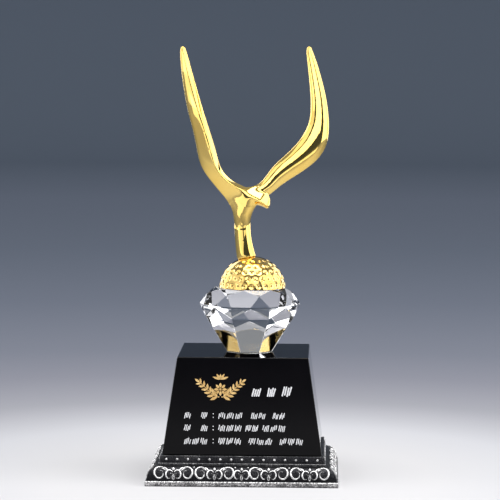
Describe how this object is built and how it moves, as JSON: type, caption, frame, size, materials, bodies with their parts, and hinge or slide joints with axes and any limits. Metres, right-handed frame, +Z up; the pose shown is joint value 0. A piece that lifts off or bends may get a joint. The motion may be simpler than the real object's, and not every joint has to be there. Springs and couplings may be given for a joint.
{
  "type": "trophy",
  "caption": "Award trophy: gilt bird with raised wings on a dimpled half ball, a cut crystal and a sloping black block on a scroll-relief base.",
  "frame": {"origin": "middle of the base's flat underside, on the surface it stands on", "axes": "+Z up, -Y out of the front face that carries the inscription, +X to the viewer's right"},
  "size_m": [0.1216, 0.101, 0.2765],
  "materials": {
    "antique_silver": "antique silver, bright on the raised relief and black in the recesses",
    "black_glass": "polished black glass",
    "clear_crystal": "clear, faceted and polished",
    "ball_gold": "bright gold plate",
    "polished_gold": "mirror-polished gold plate"
  },
  "bodies": {
    "root": {"cast_base": "antique_silver", "black_block": "black_glass", "crystal_diamond": "clear_crystal", "golf_ball_dome": "ball_gold", "eagle_figure": "polished_gold"}
  },
  "joints": []
}
